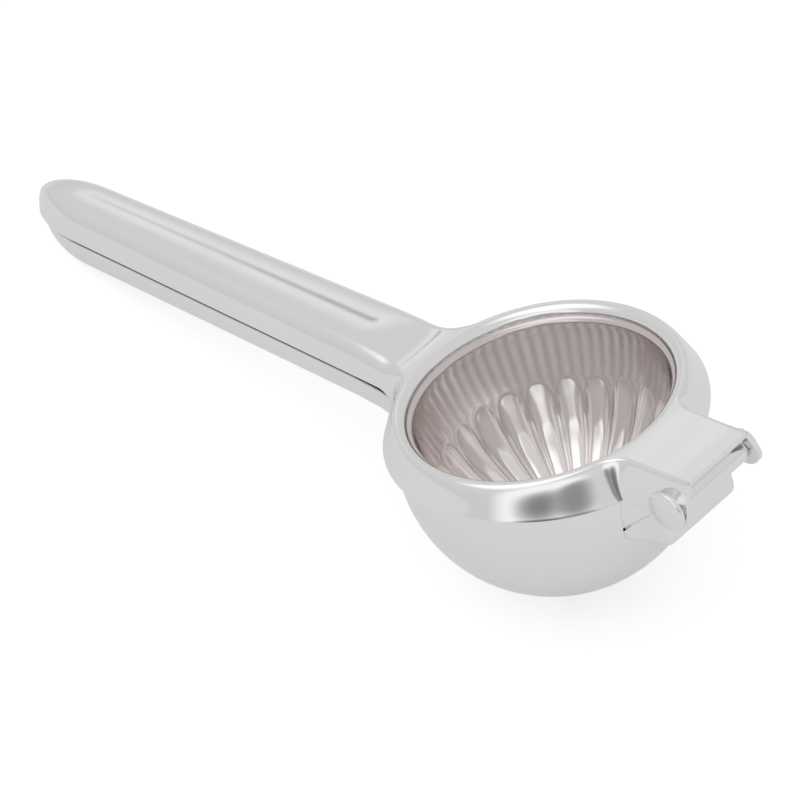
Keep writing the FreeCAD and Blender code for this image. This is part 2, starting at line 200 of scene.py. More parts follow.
# noises are scale and detail
finish = {"clouds": (55, 3), "lines": (160, 2), "lineStretch": (1, 14, 14), "lineShare": 0.4,
          "shade": (0.75, 0.74, 0.73), "shadeShare": 0.12,
          "waves": (38, 1), "waveStrength": 0.04, "waveDepth": 0.8}


# shared finish: cloudy smudges, fine polishing lines and a very slight waviness of drawn sheet
def steelFinish():
    if "steelFinish" in bpy.data.node_groups:
        return bpy.data.node_groups["steelFinish"]
    tree = bpy.data.node_groups.new("steelFinish", "ShaderNodeTree")
    colour, number, vector = "NodeSocketColor", "NodeSocketFloat", "NodeSocketVector"
    for name, kind in (("Tint", colour), ("Roughness", number), ("Smudge", number)):
        tree.interface.new_socket(name, in_out="INPUT", socket_type=kind)
    for name, kind in (("Base Color", colour), ("Roughness", number), ("Normal", vector)):
        tree.interface.new_socket(name, in_out="OUTPUT", socket_type=kind)
    given = tree.nodes.new("NodeGroupInput").outputs
    result = tree.nodes.new("NodeGroupOutput").inputs
    place = tree.nodes.new("ShaderNodeTexCoord").outputs["Object"]
    stretched = addNode(tree, "ShaderNodeMapping", Vector=place, Scale=finish["lineStretch"]).outputs[0]
    do = partial(calc, tree)

    def noise(name, where=place):
        scale, detail = finish[name]
        return addNode(tree, "ShaderNodeTexNoise", Vector=where, Scale=scale, Detail=detail).outputs[0]

    clouds = noise("clouds")
    lines = do("MULTIPLY", noise("lines", stretched), finish["lineShare"])
    smudges = do("MULTIPLY", do("ADD", clouds, lines), given["Smudge"])
    link(tree, do("ADD", given["Roughness"], smudges), result["Roughness"])
    shade = do("MULTIPLY", clouds, finish["shadeShare"])
    tint = mixColours(tree, shade, given["Tint"], (*finish["shade"], 1), "MULTIPLY")
    link(tree, tint, result["Base Color"])
    bump = addNode(tree, "ShaderNodeBump", Height=noise("waves"), Strength=finish["waveStrength"],
                   Distance=finish["waveDepth"] * millimetre)
    link(tree, bump.outputs[0], result["Normal"])
    return tree


def makeMaterial(name, metallic=1):
    tint, roughness, smudge = tones[name]
    material = bpy.data.materials.new(name)
    material.use_nodes = True
    tree = material.node_tree
    shader = tree.nodes["Principled BSDF"]
    shader.inputs["Metallic"].default_value = metallic
    group = tree.nodes.new("ShaderNodeGroup")
    group.node_tree = steelFinish()
    group.inputs["Tint"].default_value = (*tint, 1)
    group.inputs["Roughness"].default_value = roughness
    group.inputs["Smudge"].default_value = smudge
    for output in ("Base Color", "Roughness", "Normal"):
        tree.links.new(group.outputs[output], shader.inputs[output])
    return material


steel = makeMaterial("polishedSteel")
cupSteel = makeMaterial("cupSteel")
print("materials made")


# the press arm: one stamping with handle, rounded ring and hinge tongue
arm = {"rise": 0.089, "riseOver": 10.0, "thickness": 5.8, "neck": 10.3, "end": 8.0, "corner": 4.6,
       "tip": 17.0, "tipBend": 0.35, "fall": 2.8, "reach": 152.0, "straightFrom": 13.0, "ringFillet": 9.0,
       "crown": 1.3, "crownFrom": 2.0, "crownFull": 13.0,
       "tongueFront": 52.55, "tongueTop": 0.2, "fold": 3.2, "tongueFillet": 3.6,
       "earRadius": 4.95, "earFrom": 1.0, "earTurn": 0.9,
       "ringSlope": 1.0, "tongueSlope": 0.9, "handleSlope": 0.5,
       "flankAngle": 26.0, "flankPull": 0.45, "ringCrest": 0.62, "foldCrest": 0.86,
       "across": 24, "bendSteps": 20, "wallSteps": 60, "turnSteps": 180, "tongueFade": 8, "handleFade": 6}
# points along each run of the side
armSteps = {"tongue": 22, "tongueFillet": 10, "ring": 100, "ringFillet": 18, "handle": 60, "tip": 30}


def handleTop(distance):
    beyond = np.maximum(distance - ringMiddle, 0)
    return ring["top"] + arm["rise"] * beyond * ease(0, arm["riseOver"], beyond)


def tipRound(distance, reach):
    beyond = np.clip((distance - reach + arm["tip"]) / arm["tip"], 0, 1)
    return np.sqrt(1 - beyond ** 2)


def handleHalf(distance, reach):
    straight = ringOuter + arm["straightFrom"]
    share = np.clip((distance - straight) / (reach - arm["tip"] - straight), 0, 1)
    return between(arm["neck"], arm["end"], share) * tipRound(distance, reach)


# the top of the handle is bowed across its width
def crown(x, y):
    distance = -np.asarray(x, float)
    half = np.maximum(handleHalf(distance, arm["reach"]), smallest)
    fade = ease(ringMiddle + arm["crownFrom"], ringOuter + arm["crownFull"], distance)
    return arm["crown"] * fade * np.maximum(1 - (y / half) ** 2, 0)


def splitLevel(distance):
    return ring["top"] + arm["rise"] * (distance - ringMiddle) - arm["thickness"]


def tongueTop(x):
    return between(ring["top"], arm["tongueTop"], ease(ringMiddle, arm["tongueFront"] - arm["fold"], x))


def earBottom(x):
    radius = arm["earRadius"]
    turn = arm["earTurn"] * radius
    startX, startZ = ringOuter + arm["earFrom"], skirtLevel - ring["dip"]
    stopX, stopZ = hinge["front"] - turn, hinge["level"] - math.sqrt(radius ** 2 - turn ** 2)
    slope = between(startZ, stopZ, np.clip((x - startX) / (stopX - startX), 0, 1))
    reach = np.clip(radius ** 2 - (x - hinge["front"]) ** 2, 0, None)
    return np.where(x < stopX, slope, hinge["level"] - np.sqrt(reach))


# a fillet that joins the ring to a straight side; away points along the side, out points off the tool
def filletToRing(onSide, away, out, radius, count):
    base = onSide + radius * out
    along = away @ base
    shift = -along + math.sqrt(along ** 2 - base @ base + (ringOuter + radius) ** 2)
    centre = base + shift * away
    first = math.atan2(*(-out)[::-1])
    last = math.atan2(*(-centre)[::-1])
    last += 2 * math.pi * round((first - last) / (2 * math.pi))
    angles = np.linspace(first, last, count)
    return centre + radius * np.stack([np.cos(angles), np.sin(angles)], 1)


# one side of the arm seen from above, from the tongue's corner to the tip, with what its section needs
def armSide():
    steps = armSteps
    straight = np.array((-(ringOuter + arm["straightFrom"]), arm["neck"]))
    ending = np.array((-(arm["reach"] - arm["tip"]), arm["end"]))
    away = (ending - straight) / np.linalg.norm(ending - straight)
    out = np.array((away[1], -away[0]))
    atHandle = filletToRing(straight, away, out, arm["ringFillet"], steps["ringFillet"])[::-1]
    corner = np.array((arm["tongueFront"], hinge["halfWidth"]))
    forward, sideways = np.eye(2)
    atTongue = filletToRing(corner, forward, sideways, arm["tongueFillet"], steps["tongueFillet"])
    share = np.sin(np.linspace(quarterTurn, 0, steps["tongue"]))[:, None]
    tongue = between(atTongue[0], corner, share)
    span = [math.atan2(p[1], p[0]) for p in (atTongue[-1], atHandle[0])]
    angles = np.linspace(*span, steps["ring"])
    rim = ringOuter * np.stack([np.cos(angles), np.sin(angles)], 1)
    handle = between(atHandle[-1], ending, np.linspace(0, 1, steps["handle"])[:, None])
    turn = np.linspace(0, quarterTurn, steps["tip"])
    tip = ending + np.stack([-arm["tip"] * np.sin(turn), arm["end"] * (np.cos(turn) - 1)], 1)
    parts = [tongue, atTongue[1:], rim[1:], atHandle[1:], handle[1:], tip[1:]]

    blend = [np.linspace(0, 1, len(p)) for p in parts]
    none = [0 * b for b in blend]
    toRing, toHandle = ease(0, 1, blend[1]), ease(0, 1, blend[3])
    tipFade = np.cos(turn[1:])
    fold, outer, inner = arm["fold"], ring["outerBend"], arm["corner"]
    bends = [none[0] + fold, between(fold, outer, blend[1]), none[2] + outer, between(outer, inner, blend[3]),
             none[4] + inner, inner * between(arm["tipBend"], 1, tipFade)]
    falls = none[:5] + [arm["fall"] * (1 - tipFade)]
    ears = earBottom(tongue[:, 0])
    around = skirtLevel - ring["dip"] * np.maximum(np.cos(angles[1:]), 0) ** ring["dipPower"]
    levels = [ears, between(ears[-1], around[0], toRing), around,
              between(skirtLevel, splitLevel(-parts[3][:, 0]), toHandle)]
    levels += [splitLevel(-p[:, 0]) for p in parts[4:]]
    onTongue, onRing, onHandle = arm["tongueSlope"], arm["ringSlope"], arm["handleSlope"]
    slopes = [none[0] + onTongue, between(onTongue, onRing, toRing), none[2] + onRing,
              between(onRing, onHandle, toHandle)]
    slopes += [n + onHandle for n in none[4:]]
    leans = [none[0], arm["flankAngle"] * toRing] + [n + arm["flankAngle"] for n in none[2:]]
    earDepth = arm["tongueTop"] - hinge["level"] + arm["earRadius"]
    ringDepth = ring["top"] - around[0]
    depths = [none[0] + earDepth, between(earDepth, ringDepth, toRing)] + none[2:]
    marks = np.cumsum([len(p) for p in parts])
    return tuple(np.concatenate(v) for v in (parts, bends, falls, levels, slopes, leans, depths)) + (marks,)


# the section of the side, inward and upward, from its lower edge to the top; it is shaped for the full
# depth of the side and then cut off at the height the edge has here
def sideSection(bend, height, slope, lean, depth):
    turn = np.linspace(0, quarterTurn, arm["turnSteps"])
    wall = np.linspace(0, depth - bend, arm["wallSteps"], endpoint=False)
    steps = np.linspace(0, 1, len(wall) + len(turn))
    straight = np.stack([0 * wall, wall], 1)
    curved = np.stack([bend * (1 - np.cos(turn)), depth - bend + bend * np.sin(turn)], 1)
    plain = np.concatenate([straight, curved])
    crest = between(arm["foldCrest"], arm["ringCrest"], lean / arm["flankAngle"])
    pull, angle = arm["flankPull"] * depth, math.radians(lean)
    anchors = np.array([(0, 0), (pull * math.sin(angle), pull * math.cos(angle)),
                        (crest * bend, depth), (bend, depth)])
    t = steps[:, None]
    weights = ((1 - t) ** 3, 3 * t * (1 - t) ** 2, 3 * t * t * (1 - t), t ** 3)
    flank = sum(weight * anchor for weight, anchor in zip(weights, anchors))
    shape = between(plain, flank, slope)
    shape[:, 1] -= depth - height
    start = np.interp(0, shape[:, 1], steps)
    places = between(start, 1, np.linspace(0, 1, arm["bendSteps"]))
    return np.stack([np.interp(places, steps, shape[:, k]) for k in (0, 1)], 1)


def makeArm():
    *values, marks = armSide()
    count = len(values[0])
    chain, bends, falls, levels, slopes, leans, depths = (np.concatenate([v, v[-2::-1]]) for v in values)
    chain[:count, 1] *= -1
    tangent = np.gradient(chain, axis=0)
    tangent /= np.linalg.norm(tangent, axis=1)[:, None]
    inward = np.stack([tangent[:, 1], -tangent[:, 0]], 1)
    inner = chain + bends[:, None] * inward
    tops = np.where(inner[:, 0] < 0, handleTop(-inner[:, 0]), tongueTop(inner[:, 0])) - falls
    heights = tops - levels
    depths = np.maximum(depths, heights)
    sections = np.array([sideSection(*v) for v in zip(bends, heights, slopes, leans, depths)])
    place = chain[:, None, :] + sections[:, :, :1] * inward[:, None, :]
    rise = levels[:, None] + sections[:, :, 1] + crown(place[:, :, 0], place[:, :, 1])
    surface = Surface()
    surface.addGrid(np.concatenate([place, rise[:, :, None]], 2).transpose(1, 0, 2), flip=True)

    share = np.linspace(-1, 1, arm["across"] + 1)

    # a row across the top: straight far from the ring and an arc of it close by
    def crossRow(index, fade, level):
        x, half = inner[index, 0], abs(inner[index, 1])
        y = half * share
        if fade > 0:
            angle = math.asin(min(half / ringMiddle, 1)) * share
            onRing = half * np.sin(angle) / max(math.sin(angle[-1]), smallest)
            y = between(y, onRing, fade)
        bow = np.sqrt(ringMiddle ** 2 - np.minimum(y, ringMiddle) ** 2)
        bow -= math.sqrt(max(ringMiddle ** 2 - half ** 2, 0))
        xs = x + math.copysign(1, x) * bow * fade
        zs = level(xs) - falls[index] + crown(xs, y)
        return np.column_stack([xs, y, zs])

    tongueEnd, handleStart = marks[1] - 1, marks[2] - 1
    handleRows = []
    for index in range(handleStart, count):
        fade = 1 - float(ease(handleStart, marks[3] + arm["handleFade"], index))
        handleRows.append(crossRow(index, fade, lambda xs: handleTop(-xs)))
    tongueRows = []
    for index in range(tongueEnd, -1, -1):
        fade = float(ease(marks[0] - arm["tongueFade"], tongueEnd, index))
        tongueRows.append(crossRow(index, fade, tongueTop))
    surface.addGrid(handleRows)
    surface.addGrid(tongueRows, flip=True)

    # from the ring's crest round into its mouth and down the lip
    nearRing = inner[tongueEnd:handleStart + 1]
    farRing = (nearRing * (1, -1))[::-1]
    crest = np.concatenate([
        nearRing[::-1], tongueRows[0][1:-1, :2], farRing[::-1], handleRows[0][-2:0:-1, :2]])
    around = crest / np.linalg.norm(crest, axis=1)[:, None]
    bend = ring["innerBend"]
    profile = [(ringMiddle - bend * math.sin(a), ring["top"] - bend * (1 - math.cos(a)))
               for a in np.linspace(0, quarterTurn, ring["bendRows"])[1:]]
    profile += [(ring["mouth"], ring["top"] - between(bend, ring["lip"], part)) for part in (0.5, 1)]
    mouthRows = [np.column_stack([crest, np.full(len(crest), ring["top"])])]
    mouthRows += [np.column_stack([around * r, np.full(len(crest), z)]) for r, z in profile]
    surface.addGrid(mouthRows, closed=True)
    obj = surface.build("pressArm", steel, outward=False)
    thicken(obj)
    dress(obj, "press_arm", "polished_steel", "press_arm_shell")


makeArm()


# each rule takes its values as named inputs and ends by setting the material
def newRule(name, values):
    tree = bpy.data.node_groups.new(name, "GeometryNodeTree")
    tree.interface.new_socket("Geometry", in_out="INPUT", socket_type="NodeSocketGeometry")
    for key, value in values.items():
        kind = "NodeSocketInt" if isinstance(value, int) else "NodeSocketFloat"
        tree.interface.new_socket(key, in_out="INPUT", socket_type=kind).default_value = value
    tree.interface.new_socket("Material", in_out="INPUT", socket_type="NodeSocketMaterial")
    tree.interface.new_socket("Geometry", in_out="OUTPUT", socket_type="NodeSocketGeometry")
    given = tree.nodes.new("NodeGroupInput").outputs
    result = tree.nodes.new("NodeGroupOutput").inputs
    return tree, given, result


def applyRule(obj, rule, material):
    modifier = obj.modifiers.new(rule.name, "NODES")
    modifier.node_group = rule
    for item in rule.interface.items_tree:
        if item.name == "Material":
            modifier[item.identifier] = material
    settle(obj)


# the round bowl, closed below by a drawn half sphere
bowl = {"gap": 0.7, "wall": 1.3, "rimGap": 0.4, "centre": -12.6,
        "segments": 192, "domeRows": 60, "rimRows": 9}
bowlRadius = ringOuter - ring["steel"] - bowl["gap"]
bowlRim = skirtLevel - bowl["rimGap"]

drainSlots = {"Count": 6, "Start": 6.0, "Length": 9.0, "Width": 3.0}
drainCutter = {"sides": 32, "depth": 20.0, "sharpAngle": 0.6}


# how far out the middle of the bowl's wall lies; what is welded to the bowl ends there
def inBowlWall(y, z):
    middle = bowlRadius - bowl["wall"] / 2
    return np.sqrt(middle ** 2 - y ** 2 - np.minimum(z - bowl["centre"], 0) ** 2)


# a ring of rounded slots cut straight through the bottom of the bowl
def drainRule():
    tree, given, result = newRule("drainRule", drainSlots)
    do, node = partial(calc, tree), partial(addNode, tree)

    def scaled(name, scale=millimetre):
        return do("MULTIPLY", given[name], scale)

    peg = node("GeometryNodeMeshCylinder", Vertices=drainCutter["sides"],
               Depth=drainCutter["depth"] * millimetre,
               Radius=scaled("Width", millimetre / 2)).outputs["Mesh"]
    along = node("ShaderNodeCombineXYZ", X=scaled("Length")).outputs[0]
    farPeg = node("GeometryNodeTransform", Geometry=peg, Translation=along).outputs[0]
    pegs = tree.nodes.new("GeometryNodeJoinGeometry")
    for part in (peg, farPeg):
        tree.links.new(part, pegs.inputs[0])
    cutter = node("GeometryNodeConvexHull", Geometry=pegs.outputs[0]).outputs[0]
    places = node("GeometryNodeMeshCircle", Vertices=given["Count"], Radius=scaled("Start")).outputs[0]
    position = tree.nodes.new("GeometryNodeInputPosition").outputs[0]
    facing = node("FunctionNodeAlignRotationToVector", Vector=position)
    facing.axis = "X"
    cutters = node("GeometryNodeInstanceOnPoints", Points=places, Instance=cutter, Rotation=facing.outputs[0])
    bottom = toWorld((0, 0, bowl["centre"] - bowlRadius))
    turned = node("GeometryNodeTransform", Geometry=cutters.outputs[0], Translation=bottom,
                  Rotation=(0, -math.radians(pose["tilt"]), 0))
    cut = tree.nodes.new("GeometryNodeMeshBoolean")
    cut.operation = "DIFFERENCE"
    cut.solver = "EXACT"
    tree.links.new(given["Geometry"], cut.inputs["Mesh 1"])
    tree.links.new(turned.outputs[0], cut.inputs["Mesh 2"])
    real = node("GeometryNodeRealizeInstances", Geometry=cut.outputs[0])
    bend = tree.nodes.new("GeometryNodeInputMeshEdgeAngle").outputs[0]
    sharp = do("GREATER_THAN", bend, drainCutter["sharpAngle"])
    shade = node("GeometryNodeSetShadeSmooth", Geometry=real.outputs[0], Selection=sharp, Shade_Smooth=False)
    shade.domain = "EDGE"
    paint = node("GeometryNodeSetMaterial", Geometry=shade.outputs[0], Material=given["Material"])
    tree.links.new(paint.outputs[0], result[0])
    return tree


def makeBowl():
    centre, halfWall = (0, bowl["centre"]), bowl["wall"] / 2
    profile = np.concatenate([
        arc(centre, bowlRadius, -90, 0, bowl["domeRows"]),
        arc((bowlRadius - halfWall, bowlRim - halfWall), halfWall, 0, 180, bowl["rimRows"]),
        arc(centre, bowlRadius - bowl["wall"], 0, -90, bowl["domeRows"])])
    surface = Surface()
    surface.addGrid(revolve(profile, bowl["segments"]), closed=True)
    obj = surface.build("juiceBowl", steel)
    applyRule(obj, drainRule(), steel)
    dress(obj, "bowl_arm", "polished_steel", "juice_bowl")


makeBowl()


# the lower handle: a channel with a boat-shaped end; near the bowl it is wider by the shares given
lower = {"gap": 0.8, "thickness": 7.7, "corner": 4.4, "cornerShare": 0.96, "fall": 6.0, "reach": 150.6,
         "start": 35.2, "neckShares": ((28.9, 1.35), (36.0, 1.18), (41.6, 1.06), (49.6, 1.0)),
         "wallShares": (0, 0.33, 0.66), "floorShares": (0.75, 0.5, 0.25),
         "rows": 70, "tipRows": 36, "bendSteps": 10}


def makeLowerHandle():
    tipStart = lower["reach"] - arm["tip"]
    tipTurn = np.linspace(0, quarterTurn, lower["tipRows"])
    places = np.concatenate([np.linspace(lower["start"], tipStart, lower["rows"])[:-1],
                             tipStart + arm["tip"] * np.sin(tipTurn)])
    neckAt, neckShare = zip(*lower["neckShares"])
    sections = []
    for place in places:
        half = handleHalf(place, lower["reach"]) * np.interp(place, neckAt, neckShare)
        top = splitLevel(place) - lower["gap"]
        floor = top - lower["thickness"] + lower["fall"] * (1 - tipRound(place, lower["reach"]))
        bend = min(lower["corner"], lower["cornerShare"] * half, lower["cornerShare"] * (top - floor))
        side = [(half, between(top, floor + bend, k)) for k in lower["wallShares"]]
        side += [tuple(p) for p in arc((half - bend, floor + bend), bend, 0, -90, lower["bendSteps"])]
        side += [((half - bend) * k, floor) for k in lower["floorShares"]]
        loop = side + [(0, floor)] + [(-y, z) for y, z in side[::-1]]
        sections.append([(-place, y, z) for y, z in loop])
    sections.insert(0, [(-inBowlWall(y, z), y, z) for x, y, z in sections[0]])
    surface = Surface()
    surface.addGrid(sections)
    obj = surface.build("lowerHandle", steel, outward=False)
    thicken(obj)
    dress(obj, "bowl_arm", "polished_steel", "lower_handle")


makeLowerHandle()


# the fluted press cup; raised fingers are pressed into its wall from outside
# the flute tint is a painted highlight colour mixed onto the raised fingers, in full where they are raised by
# the given share
cup = {"wall": 1.2, "step": 1.8, "centre": -10.2, "rimDrop": 1.8, "rimTurn": 0.1, "grooveShare": 0.6,
       "wallShares": (0.1, 0.98), "fluteHighlightTint": (0.88, 0.855, 0.845), "fluteHighlightFull": 0.6,
       "segments": 648, "rimRows": 7, "wallRows": 6, "domeRows": 92, "skinRows": 34}
flutes = {"Count": 24, "Turn": 0.07, "Start": 11.6, "End": 78.0, "Half Width": 0.43, "Height": 1.2,
          "Top Length": 0.15, "Rise Length": 0.3, "End Length": 0.4, "Squareness": 3.0}


def fluteRule():
    tree, given, result = newRule("fluteRule", flutes)
    do, node = partial(calc, tree), partial(addNode, tree)

    def attribute(name):
        made = node("GeometryNodeInputNamedAttribute", Name=name)
        made.data_type = "FLOAT"
        return made.outputs[0]

    def limited(value):
        return do("MINIMUM", do("MAXIMUM", value, 0.0), 1.0)

    def rest(value):
        return do("SUBTRACT", 1.0, value)

    polar = attribute("polar")
    turns = do("ADD", do("MULTIPLY", attribute("around"), given["Count"]), given["Turn"])
    across = do("SUBTRACT", do("FRACT", turns), 0.5)
    span = do("SUBTRACT", given["End"], given["Start"])
    along = limited(do("DIVIDE", do("SUBTRACT", polar, given["Start"]), span))
    toTop = rest(limited(do("DIVIDE", along, given["Top Length"])))
    topRound = do("SQRT", rest(do("MULTIPLY", toTop, toTop)))
    half = do("MAXIMUM", do("MULTIPLY", given["Half Width"], topRound), 0.0001)
    ratio = do("ABSOLUTE", do("DIVIDE", across, half))
    bulge = do("MAXIMUM", rest(do("POWER", ratio, given["Squareness"])), 0.0)
    toRise = rest(limited(do("DIVIDE", along, given["Rise Length"])))
    rise = rest(do("MULTIPLY", toRise, toRise))
    toEnd = limited(do("DIVIDE", rest(along), given["End Length"]))
    raised = do("MULTIPLY", do("MULTIPLY", bulge, rise), toEnd)
    narrowing = do("COSINE", do("RADIANS", polar))
    height = do("MULTIPLY", do("MULTIPLY", raised, given["Height"]), narrowing)
    shift = tree.nodes.new("ShaderNodeVectorMath")
    shift.operation = "SCALE"
    tree.links.new(tree.nodes.new("GeometryNodeInputNormal").outputs[0], shift.inputs[0])
    distance = do("MULTIPLY", do("MULTIPLY", height, attribute("side")), millimetre)
    tree.links.new(distance, shift.inputs["Scale"])
    move = node("GeometryNodeSetPosition", Geometry=given["Geometry"], Offset=shift.outputs[0])
    # the stored raise also masks the painted highlight on the fingers in the cup's material
    mark = node("GeometryNodeStoreNamedAttribute", Geometry=move.outputs[0], Name="flute", Value=raised)
    real = node("GeometryNodeRealizeInstances", Geometry=mark.outputs[0])
    paint = node("GeometryNodeSetMaterial", Geometry=real.outputs[0], Material=given["Material"])
    tree.links.new(paint.outputs[0], result[0])
    return tree


# painted highlight: the raised fingers are tinted brighter than the wall between and above them, standing in
# for the bright light their faces reflect
def paintFluteHighlights(material):
    tree = material.node_tree
    group = next(node for node in tree.nodes if node.type == "GROUP")
    raised = tree.nodes.new("ShaderNodeAttribute")
    raised.attribute_name = "flute"
    spread = addNode(tree, "ShaderNodeMapRange", Value=raised.outputs["Fac"], From_Max=cup["fluteHighlightFull"])
    plainTint = tuple(group.inputs["Tint"].default_value)
    tint = mixColours(tree, spread.outputs[0], plainTint, (*cup["fluteHighlightTint"], 1))
    tree.links.new(tint, group.inputs["Tint"])


# where each point lies on the cup, for the flute rule: share of a turn, angle below the dome's centre, and
# which face of the wall it is on
def markCup(mesh, dome):
    back = toolTurn.inverted()
    middle = dome + cup["wall"] / 2
    around, polar, side = [], [], []
    for vertex in mesh.vertices:
        p = back @ (vertex.co / millimetre - toolLift)
        radius = math.hypot(p.x, p.y)
        depth = p.z - cup["centre"]
        around.append(math.atan2(p.y, p.x) / (2 * math.pi) + 1)
        polar.append(math.degrees(math.atan2(-depth, radius)))
        side.append(1.0 if math.hypot(radius, depth) < middle else -cup["grooveShare"])
    for name, values in (("around", around), ("polar", polar), ("side", side)):
        mesh.attributes.new(name, "FLOAT", "POINT").data.foreach_set("value", values)


def makeCup():
    centre, wall = (0, cup["centre"]), cup["wall"]
    mouth = ring["mouth"] - wall
    dome = mouth - cup["step"]
    rim = ring["top"] - ring["innerBend"]
    rise = rim - cup["centre"]
    taper = math.degrees(math.acos(dome / math.hypot(mouth, rise)) - math.atan2(rise, mouth))
    inside = [(ring["mouth"], rim)]
    inside += [(mouth + wall * (1 - math.sin(a)), rim - cup["rimDrop"] * (1 - math.cos(a)))
               for a in np.linspace(cup["rimTurn"], quarterTurn, cup["rimRows"])]
    inner = arc(centre, dome, -taper, -90, cup["domeRows"])
    start = np.array(inside[-1])
    inside += [tuple(between(start, inner[0], k)) for k in np.linspace(*cup["wallShares"], cup["wallRows"])]
    inside += [tuple(p) for p in inner]
    outside = [tuple(p) for p in arc(centre, dome + wall, -90, -taper, cup["skinRows"])]
    outside += [(ring["mouth"], ring["top"] - ring["lip"])]
    surface = Surface()
    surface.addGrid(revolve(inside + outside + inside[:1], cup["segments"]), closed=True)
    obj = surface.build("pressCup", cupSteel)
    markCup(obj.data, dome)
    applyRule(obj, fluteRule(), cupSteel)
    # paints a highlight onto the raised fingers
    paintFluteHighlights(cupSteel)
    dress(obj, "press_arm", "cup_steel", "press_cup")


makeCup()


# the hinge bracket: a folded front wall that rolls round the pin; below the ears it flares into the bowl
bracket = {"half": 11.2, "front": 4.2, "bend": 2.9, "depth": 14.3, "web": 1.2, "back": 27.0, "edge": 1.6,
           "flare": 2.2, "flareFrom": -6.0, "flareFull": -14.5, "flarePower": 3,
           "runSteps": (12, 10, 10, 10, 28, 14, 8), "edgeSteps": 8, "endRows": 17}


def makeBracket():
    front, level = hinge["front"], hinge["level"]
    roll, bend, web, back = hinge["knuckle"], bracket["bend"], bracket["web"], bracket["back"]
    base, top = level - bracket["depth"], level + roll
    wall = front - bracket["front"]
    drop = math.sqrt((roll + web) ** 2 - (bracket["front"] - web) ** 2)
    low = math.degrees(math.atan2(drop, bracket["front"] - web))
    steps = bracket["runSteps"]
    runs = [np.linspace((back, base), (wall - bend, base), steps[0]),
            arc((wall - bend, base + bend), bend, -90, 0, steps[1]),
            np.linspace((wall, base + bend), (wall, level - drop), steps[2]),
            arc((wall + web, level - drop), web, 180, low, steps[3]),
            arc((front, level), roll, low - 180, 90, steps[4]),
            np.linspace((front, top), (back, top), steps[5]),
            np.linspace((back, top), (back, base), steps[6])[:-1]]
    loop = np.concatenate(runs[:1] + [run[1:] for run in runs[1:]])
    tangent = np.roll(loop, -1, 0) - np.roll(loop, 1, 0)
    tangent /= np.linalg.norm(tangent, axis=1)[:, None]
    inward = np.stack([-tangent[:, 1], tangent[:, 0]], 1)
    half, inset = bracket["half"], bracket["edge"]
    turn = np.linspace(quarterTurn, 0, bracket["edgeSteps"])
    edges = [(-half + inset * (1 - math.sin(a)), inset * (1 - math.cos(a))) for a in turn]
    edges += [(-y, shift) for y, shift in edges[::-1]]
    root = math.sqrt(bowlRadius ** 2 - half ** 2)

    def placed(flat, y):
        x, z = flat.T
        near = np.clip((wall - x) / (wall - root), 0, 1) ** bracket["flarePower"]
        near = near * ease(bracket["flareFrom"], bracket["flareFull"], z)
        wide = y * (1 + bracket["flare"] / half * near)
        return np.column_stack([np.maximum(x, inBowlWall(wide, z)), wide, z])

    surface = Surface()
    surface.addGrid([placed(loop + inward * shift, y) for y, shift in edges], closed=True)
    end = loop + inward * inset
    heart = end.mean(0)
    shares = np.linspace(1, 0, bracket["endRows"])
    for y in (-half, half):
        surface.addGrid([placed(between(heart, end, share), y) for share in shares], closed=True)
    obj = surface.build("hingeBracket", steel)
    dress(obj, "bowl_arm", "polished_steel", "hinge_bracket")


makeBracket()


# rivet ends: a domed head on the near ear and a smaller cap on the far ear; radius, edge and height
rivet = {"head": (4.9, 1.0, 1.8), "cap": (3.4, 0.4, 1.0), "shank": 1.5, "shankGap": 0.2, "rounding": 0.175,
         "lead": 0.2, "shoulder": 0.15, "segments": 72, "domeRows": 24}


def makeRivet():
    for name, side, node, shape in (("rivetHead", -1, "hinge_pin", rivet["head"]),
                                    ("rivetCap", 1, "pin_cap", rivet["cap"])):
        radius, edge, height = shape
        dome = height - edge
        sphere = (radius ** 2 + dome ** 2) / (2 * dome)
        spread = math.degrees(math.asin((radius - rivet["rounding"]) / sphere))
        profile = [(radius - rivet["lead"], 0), (radius, rivet["lead"]), (radius, edge - rivet["shoulder"])]
        profile += [tuple(p) for p in arc((0, height - sphere), sphere, 90 - spread, 90, rivet["domeRows"])]
        start = [(0, 0)]
        if side < 0:
            shank, shankEnd = rivet["shank"], rivet["shankGap"] - 2 * hinge["halfWidth"]
            start = [(0, shankEnd), (shank, shankEnd), (shank, 0)]

        def place(r, angle, h):
            return (hinge["front"] + r * math.cos(angle), side * (hinge["halfWidth"] + h),
                    hinge["level"] + r * math.sin(angle))

        surface = Surface()
        surface.addGrid(revolve(start + profile, rivet["segments"], place), closed=True)
        dress(surface.build(name, steel), "press_arm", "polished_steel", node)


makeRivet()


# the bush and washers inside the hinge keep their solid shapes and only get materials
nylonScatter = {"Subsurface Weight": 0.1, "Subsurface Scale": 0.001}


def dressHinge():
    brass = makeMaterial("bushBrass")
    nylon = makeMaterial("washerNylon", metallic=0)
    shader = nylon.node_tree.nodes["Principled BSDF"]
    for name, value in nylonScatter.items():
        shader.inputs[name].default_value = value
    for node, material in (("knuckle_bush", brass), ("near_washer", nylon), ("far_washer", nylon)):
        bpy.data.objects[node].material_slots[0].material = material


dressHinge()
print("hinge dressed")


# the photo's camera; angles and target are in the frame of the tool
cameraView = {"azimuth": 51.572, "elevation": 35.319, "roll": -16.038, "distance": 2500.0,
              "target": (-28.052, -15.601, 0.0), "pixelsPerMm": 4.56, "imageSize": 800,
              "sensorWidth": 36.0, "clipEnd": 100}


